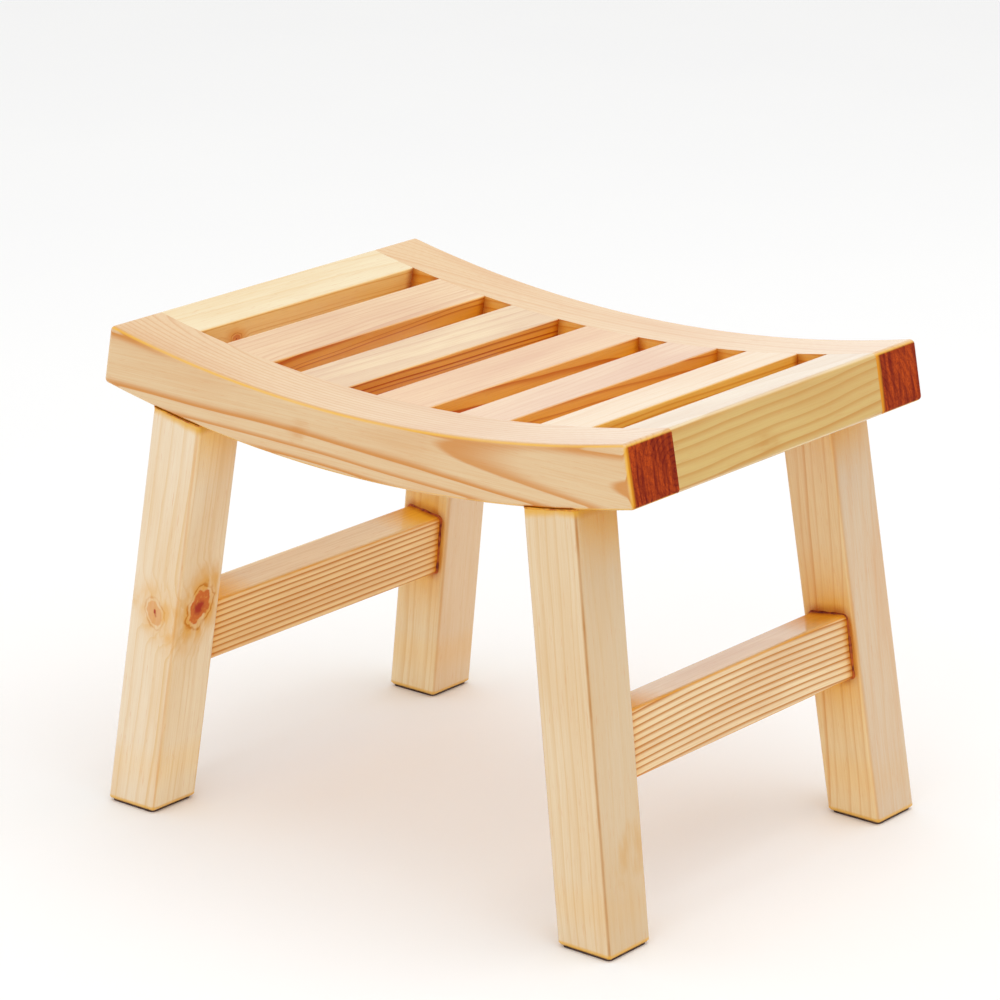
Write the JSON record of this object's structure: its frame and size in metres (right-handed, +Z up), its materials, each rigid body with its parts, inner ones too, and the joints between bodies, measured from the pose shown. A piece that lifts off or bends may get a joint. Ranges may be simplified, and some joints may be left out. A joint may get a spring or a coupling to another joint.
{
  "type": "shower stool",
  "caption": "Low varnished pine stool for shower or sauna: dished slatted seat between curved rails, splayed square legs and an end stretcher between each pair.",
  "frame": {"origin": "on the floor, under the middle of the seat", "axes": "+X along the curved rails towards the right end, +Y from the front rail to the rear rail, +Z up"},
  "size_m": [0.3996, 0.3022, 0.2994],
  "materials": {
    "rail_wood": "clear gloss varnish on pine, brown-red end grain",
    "slat_wood": "clear gloss varnish on pine",
    "leg_wood": "clear gloss varnish on knotty pine",
    "stretcher_wood": "clear gloss varnish on straight-grained pine",
    "foot_pad": "matt dark brown non-slip rubber",
    "dowel_wood": "bare fluted beech"
  },
  "bodies": {
    "root": {"front_rail": "rail_wood", "rear_rail": "rail_wood", "end_slat_left": "slat_wood", "slat_1": "slat_wood", "slat_2": "slat_wood", "slat_3": "slat_wood", "slat_4": "slat_wood", "slat_5": "slat_wood", "end_slat_right": "slat_wood", "leg_front_left": "leg_wood", "leg_front_right": "leg_wood", "leg_rear_left": "leg_wood", "leg_rear_right": "leg_wood", "stretcher_left": "stretcher_wood", "stretcher_right": "stretcher_wood", "foot_pad_front_left": "foot_pad", "foot_pad_front_right": "foot_pad", "foot_pad_rear_left": "foot_pad", "foot_pad_rear_right": "foot_pad", "slat_dowels": "dowel_wood", "leg_dowels": "dowel_wood", "stretcher_dowels": "dowel_wood"}
  },
  "joints": []
}
